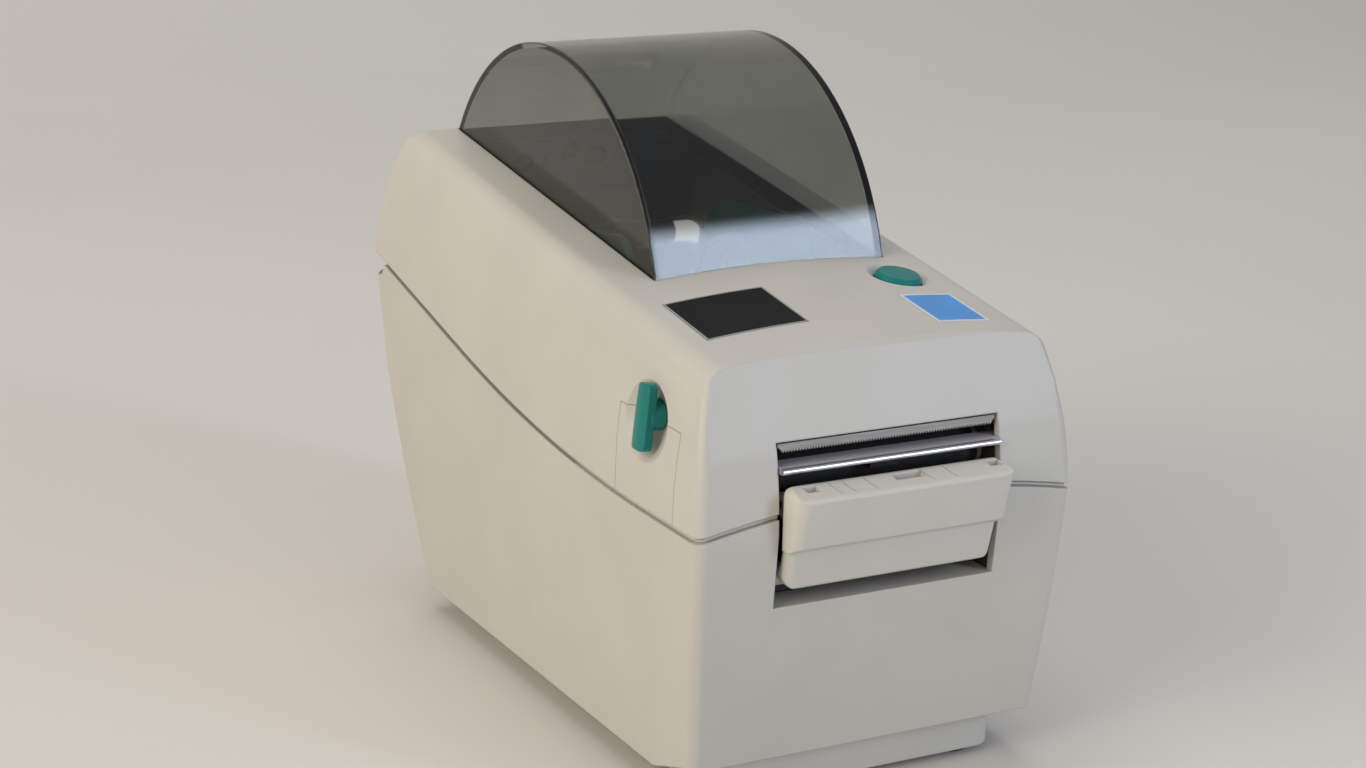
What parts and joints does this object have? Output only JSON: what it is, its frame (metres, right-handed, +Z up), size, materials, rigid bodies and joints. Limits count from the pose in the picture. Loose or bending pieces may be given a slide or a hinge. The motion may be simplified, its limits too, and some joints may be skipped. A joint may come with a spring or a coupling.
{
  "type": "desktop label printer",
  "caption": "Desktop direct thermal label printer with a clamshell cover, smoked roll window, label dispenser door, tear bar and release levers.",
  "frame": {"origin": "under the middle of the whole machine, on the surface it stands on", "axes": "+X to the right as seen from the front, the front faces -Y, +Z up; millimetres in the source"},
  "size_m": [0.1126, 0.217, 0.175],
  "materials": {
    "cover_plastic": "fine moulded texture",
    "base_plastic": "fine moulded texture",
    "smoked_window": "polished, smoke tinted",
    "teal_plastic": "smooth",
    "dark_plastic": "fine texture",
    "frame_plastic": "moulded",
    "gear_plastic": "smooth",
    "panel_blue": "satin film",
    "panel_black": "satin film",
    "steel": "brushed",
    "plated": "zinc plated",
    "aluminium": "extruded",
    "brass": "machined",
    "platen_rubber": "ground",
    "foot_rubber": "moulded",
    "board_green": "solder mask",
    "ceramic": "ground"
  },
  "bodies": {
    "base": {"base_housing": "base_plastic", "bottom_pan": "base_plastic", "rubber_feet": "foot_rubber", "pan_screws": "plated", "print_frame": "frame_plastic", "frame_screws": "plated", "media_tray": "frame_plastic", "peel_bar": "steel", "media_sensor": "dark_plastic", "main_board": "board_green", "serial_socket": "plated", "usb_socket": "plated", "power_inlet": "dark_plastic", "power_switch": "dark_plastic", "stepper_motor": "plated", "motor_screws": "plated", "idler_axle": "steel", "platen_bush_left": "gear_plastic", "platen_bush_right": "gear_plastic", "label_sensor": "dark_plastic"},
    "platen": {"platen_roller": "platen_rubber", "platen_shaft": "steel", "platen_gear": "gear_plastic"},
    "idler": {"idler_gear": "gear_plastic"},
    "pinion": {"motor_pinion": "brass"},
    "door": {"dispenser_door": "cover_plastic", "door_pins": "steel"},
    "pinch": {"pinch_roller": "platen_rubber", "pinch_shaft": "steel"},
    "guide_left": {"media_guide_left": "teal_plastic"},
    "guide_right": {"media_guide_right": "teal_plastic"},
    "guide_wheel": {"guide_pinion": "gear_plastic"},
    "cover": {"top_cover": "cover_plastic", "roll_window": "smoked_window", "latch_panel_left": "cover_plastic", "latch_panel_right": "cover_plastic", "name_panel": "panel_black", "notice_panel": "panel_blue", "tear_bar": "steel", "tear_bar_screws": "plated", "head_bracket": "steel", "head_springs": "steel", "heat_sink": "aluminium", "print_head": "ceramic", "head_screws": "plated", "hinge_pins": "steel", "button_board": "board_green"},
    "latch": {"latch_shaft": "steel", "latch_hooks": "steel", "latch_spring": "steel", "release_lever_left": "teal_plastic", "release_lever_right": "teal_plastic"},
    "button": {"feed_button": "teal_plastic"},
    "rocker": {"power_rocker": "dark_plastic"}
  },
  "joints": [
    {"name": "cover_hinge", "type": "hinge", "parent": "base", "child": "cover", "pos_m": [0, 0.1043, 0.10144], "axis": [-1, 0, 0], "range_deg": [0, 70]},
    {"name": "release_latch", "type": "hinge", "parent": "cover", "child": "latch", "pos_m": [0, -0.0695, 0.0992], "axis": [1, 0, 0], "range_deg": [0, 25], "stiffness_Nm_per_rad": 0.05, "springref_deg": -5.73},
    {"name": "feed_press", "type": "slide", "parent": "cover", "child": "button", "axis": [-0.0805, 0.1387, -0.9871], "range_m": [0, 0.001], "stiffness_N_per_m": 400, "springref_m": -0.0003},
    {"name": "door_hinge", "type": "hinge", "parent": "base", "child": "door", "pos_m": [0, -0.0925, 0.062], "axis": [1, 0, 0], "range_deg": [0, 55]},
    {"name": "pinch_spin", "type": "hinge", "parent": "door", "child": "pinch", "pos_m": [0, -0.09443, 0.0807], "axis": [1, 0, 0], "continuous": true},
    {"name": "platen_spin", "type": "hinge", "parent": "base", "child": "platen", "pos_m": [0, -0.084, 0.085], "axis": [1, 0, 0], "continuous": true},
    {"name": "idler_spin", "type": "hinge", "parent": "base", "child": "idler", "pos_m": [0, -0.06634, 0.07112], "axis": [1, 0, 0], "continuous": true},
    {"name": "pinion_spin", "type": "hinge", "parent": "base", "child": "pinion", "pos_m": [0, -0.062, 0.054], "axis": [1, 0, 0], "continuous": true},
    {"name": "guide_slide", "type": "slide", "parent": "base", "child": "guide_right", "axis": [-1, 0, 0], "range_m": [-0.0036, 0.0159]},
    {"name": "guide_slide_left", "type": "slide", "parent": "base", "child": "guide_left", "axis": [1, 0, 0], "range_m": [-0.0037, 0.016]},
    {"name": "guide_wheel_spin", "type": "hinge", "parent": "base", "child": "guide_wheel", "pos_m": [0, 0.0305, 0.032], "axis": [0, 0, 1], "range_deg": [-31, 131]},
    {"name": "power_rock", "type": "hinge", "parent": "base", "child": "rocker", "pos_m": [0.02884, 0.0675, 0.0256], "axis": [1, 0, 0], "range_deg": [0, 20]}
  ],
  "couplings": [
    {"joint": "idler_spin", "follows": "platen_spin", "ratio": -0.75},
    {"joint": "pinion_spin", "follows": "platen_spin", "ratio": 2},
    {"joint": "guide_slide_left", "follows": "guide_slide", "ratio": 1},
    {"joint": "guide_wheel_spin", "follows": "guide_slide", "rad_per_m": 142.86}
  ]
}
